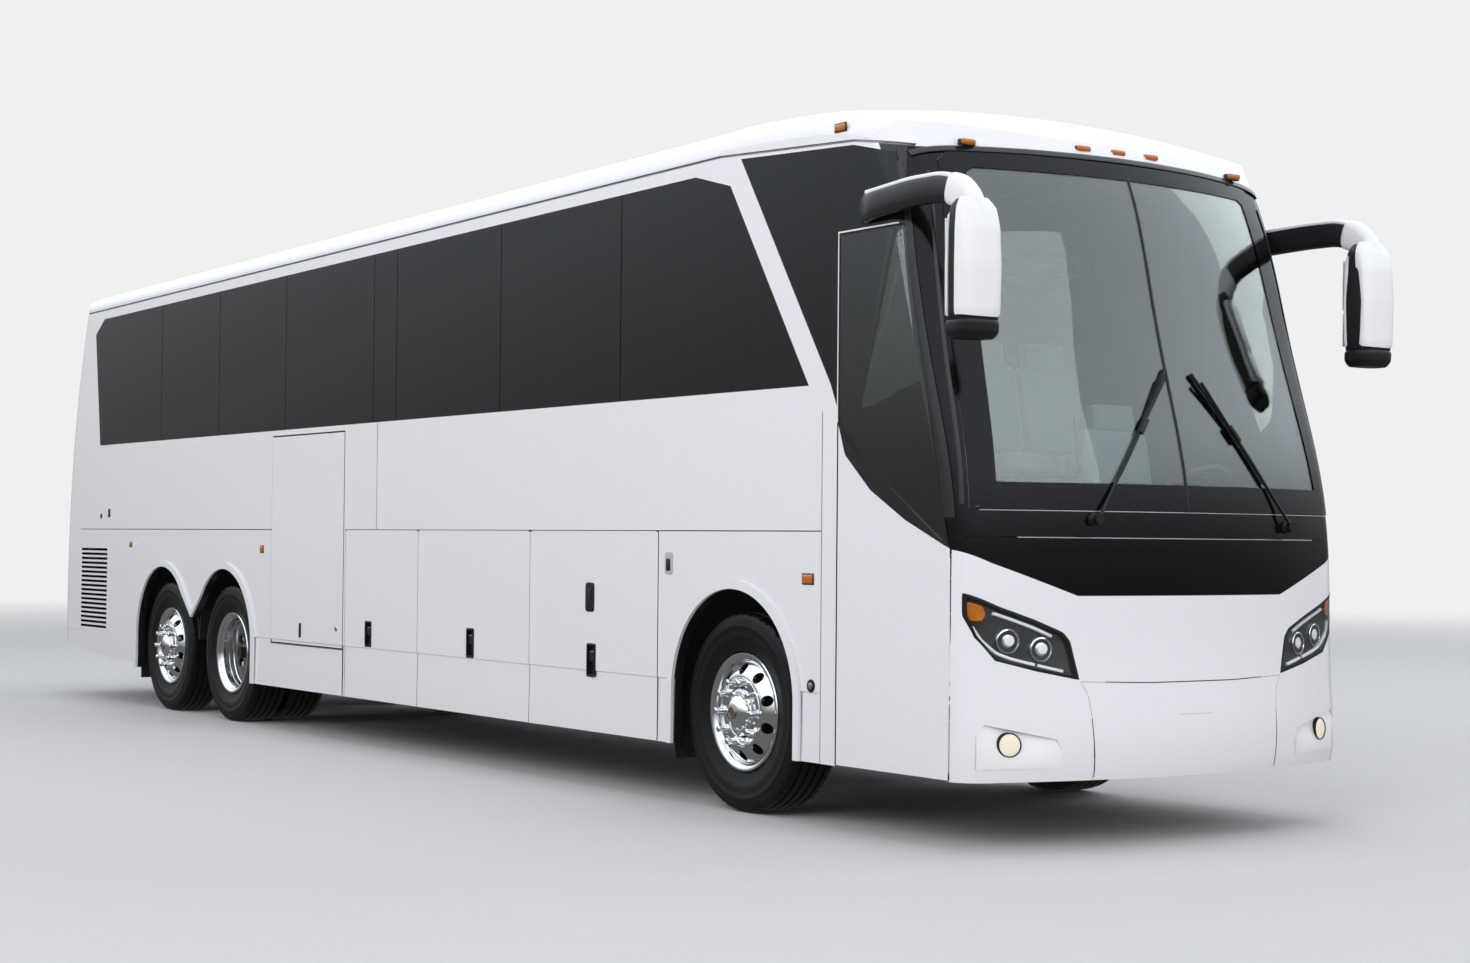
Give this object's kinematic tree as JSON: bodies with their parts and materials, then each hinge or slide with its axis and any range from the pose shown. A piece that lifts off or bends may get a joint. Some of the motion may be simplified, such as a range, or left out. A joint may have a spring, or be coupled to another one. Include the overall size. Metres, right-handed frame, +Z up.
{
  "type": "coach bus",
  "caption": "Long-distance coach bus with a flush glass band, luggage doors, entrance door and steered front wheels that roll.",
  "frame": {"origin": "middle of the vehicle's box, on the ground", "axes": "+X to the front, +Y to the vehicle's left, +Z up"},
  "size_m": [13.4988, 3.0058, 3.8411],
  "materials": {
    "body_paint": "gloss",
    "black_trim": "gloss",
    "side_glass": "gloss",
    "windshield_glass": "gloss",
    "lamp_glass": "gloss",
    "amber_lens": "gloss",
    "red_lens": "gloss",
    "wheel_metal": "polished",
    "tyre_rubber": "matte",
    "chassis_black": "satin",
    "floor_cover": "matte",
    "seat_fabric": "woven",
    "engine_iron": "cast",
    "handrail_steel": "brushed"
  },
  "bodies": {
    "coach": {"arch_panels_left": "body_paint", "arch_panels_right": "body_paint", "cabin_floor": "floor_cover", "driver_console": "black_trim", "engine_block": "engine_iron", "entry_steps": "floor_cover", "fog_lamps": "lamp_glass", "frame_rails": "chassis_black", "front_axle": "chassis_black", "front_bumper": "body_paint", "front_cap": "body_paint", "front_frame": "black_trim", "handrails": "handrail_steel", "headlamps": "lamp_glass", "lamp_units": "black_trim", "marker_lamps": "amber_lens", "mirrors": "black_trim", "rear_axles": "chassis_black", "rear_cap": "body_paint", "roof": "body_paint", "seats": "seat_fabric", "side_glass": "side_glass", "side_grilles": "body_paint", "side_wall_left": "body_paint", "side_wall_right": "body_paint", "tail_lamps": "red_lens", "underbody": "chassis_black", "windshield": "windshield_glass", "wipers": "black_trim"},
    "entrance_door": {"entrance_door": "body_paint", "entrance_door_glass": "windshield_glass"},
    "lift_door": {"lift_door": "body_paint"},
    "engine_door": {"engine_door": "body_paint"},
    "knuckle_left": {"knuckle_left": "chassis_black"},
    "knuckle_right": {"knuckle_right": "chassis_black"},
    "front_wheel_left": {"front_rim_left": "wheel_metal", "front_tyre_left": "tyre_rubber"},
    "front_wheel_right": {"front_rim_right": "wheel_metal", "front_tyre_right": "tyre_rubber"},
    "drive_wheels_left": {"drive_rims_left": "wheel_metal", "drive_tyres_left": "tyre_rubber"},
    "drive_wheels_right": {"drive_rims_right": "wheel_metal", "drive_tyres_right": "tyre_rubber"},
    "tag_wheel_left": {"tag_rim_left": "wheel_metal", "tag_tyre_left": "tyre_rubber"},
    "tag_wheel_right": {"tag_rim_right": "wheel_metal", "tag_tyre_right": "tyre_rubber"},
    "bay_door_left_1": {"bay_door_left_1": "body_paint"},
    "bay_door_left_2": {"bay_door_left_2": "body_paint"},
    "bay_door_left_3": {"bay_door_left_3": "body_paint"},
    "bay_door_right_1": {"bay_door_right_1": "body_paint"},
    "bay_door_right_2": {"bay_door_right_2": "body_paint"},
    "bay_door_right_3": {"bay_door_right_3": "body_paint"}
  },
  "joints": [
    {"name": "entrance_door_hinge", "type": "hinge", "parent": "coach", "child": "entrance_door", "pos_m": [6.402, -1.298, 0.9], "axis": [0, 0, 1], "range_deg": [0, 90]},
    {"name": "lift_door_hinge", "type": "hinge", "parent": "coach", "child": "lift_door", "pos_m": [-1.782, -1.298, 1.4], "axis": [0, 0, -1], "range_deg": [0, 110]},
    {"name": "engine_door_hinge", "type": "hinge", "parent": "coach", "child": "engine_door", "pos_m": [-6.719, 0, 1.747], "axis": [0, 1, 0], "range_deg": [0, 85]},
    {"name": "bay_door_right_1_hinge", "type": "hinge", "parent": "coach", "child": "bay_door_right_1", "pos_m": [0.135, -1.298, 1.527], "axis": [-1, 0, 0], "range_deg": [0, 85]},
    {"name": "bay_door_right_2_hinge", "type": "hinge", "parent": "coach", "child": "bay_door_right_2", "pos_m": [1.5, -1.298, 1.527], "axis": [-1, 0, 0], "range_deg": [0, 85]},
    {"name": "bay_door_right_3_hinge", "type": "hinge", "parent": "coach", "child": "bay_door_right_3", "pos_m": [3.0325, -1.298, 1.527], "axis": [-1, 0, 0], "range_deg": [0, 85]},
    {"name": "bay_door_left_1_hinge", "type": "hinge", "parent": "coach", "child": "bay_door_left_1", "pos_m": [0.135, 1.298, 1.527], "axis": [1, 0, 0], "range_deg": [0, 85]},
    {"name": "bay_door_left_2_hinge", "type": "hinge", "parent": "coach", "child": "bay_door_left_2", "pos_m": [1.5, 1.298, 1.527], "axis": [1, 0, 0], "range_deg": [0, 85]},
    {"name": "bay_door_left_3_hinge", "type": "hinge", "parent": "coach", "child": "bay_door_left_3", "pos_m": [3.0325, 1.298, 1.527], "axis": [1, 0, 0], "range_deg": [0, 85]},
    {"name": "steer_left", "type": "hinge", "parent": "coach", "child": "knuckle_left", "pos_m": [4.55, 0.93, 0.545], "axis": [0, 0, 1], "range_deg": [-40, 40]},
    {"name": "steer_right", "type": "hinge", "parent": "coach", "child": "knuckle_right", "pos_m": [4.55, -0.93, 0.545], "axis": [0, 0, 1], "range_deg": [-40, 40]},
    {"name": "front_wheel_left_spin", "type": "hinge", "parent": "knuckle_left", "child": "front_wheel_left", "pos_m": [4.55, 1.095, 0.545], "axis": [0, 1, 0], "continuous": true},
    {"name": "drive_wheels_left_spin", "type": "hinge", "parent": "coach", "child": "drive_wheels_left", "pos_m": [-2.735, 1.095, 0.545], "axis": [0, 1, 0], "continuous": true},
    {"name": "tag_wheel_left_spin", "type": "hinge", "parent": "coach", "child": "tag_wheel_left", "pos_m": [-4.095, 1.095, 0.545], "axis": [0, 1, 0], "continuous": true},
    {"name": "front_wheel_right_spin", "type": "hinge", "parent": "knuckle_right", "child": "front_wheel_right", "pos_m": [4.55, -1.095, 0.545], "axis": [0, 1, 0], "continuous": true},
    {"name": "drive_wheels_right_spin", "type": "hinge", "parent": "coach", "child": "drive_wheels_right", "pos_m": [-2.735, -1.095, 0.545], "axis": [0, 1, 0], "continuous": true},
    {"name": "tag_wheel_right_spin", "type": "hinge", "parent": "coach", "child": "tag_wheel_right", "pos_m": [-4.095, -1.095, 0.545], "axis": [0, 1, 0], "continuous": true}
  ],
  "couplings": [
    {"joint": "steer_right", "follows": "steer_left", "ratio": 1}
  ]
}
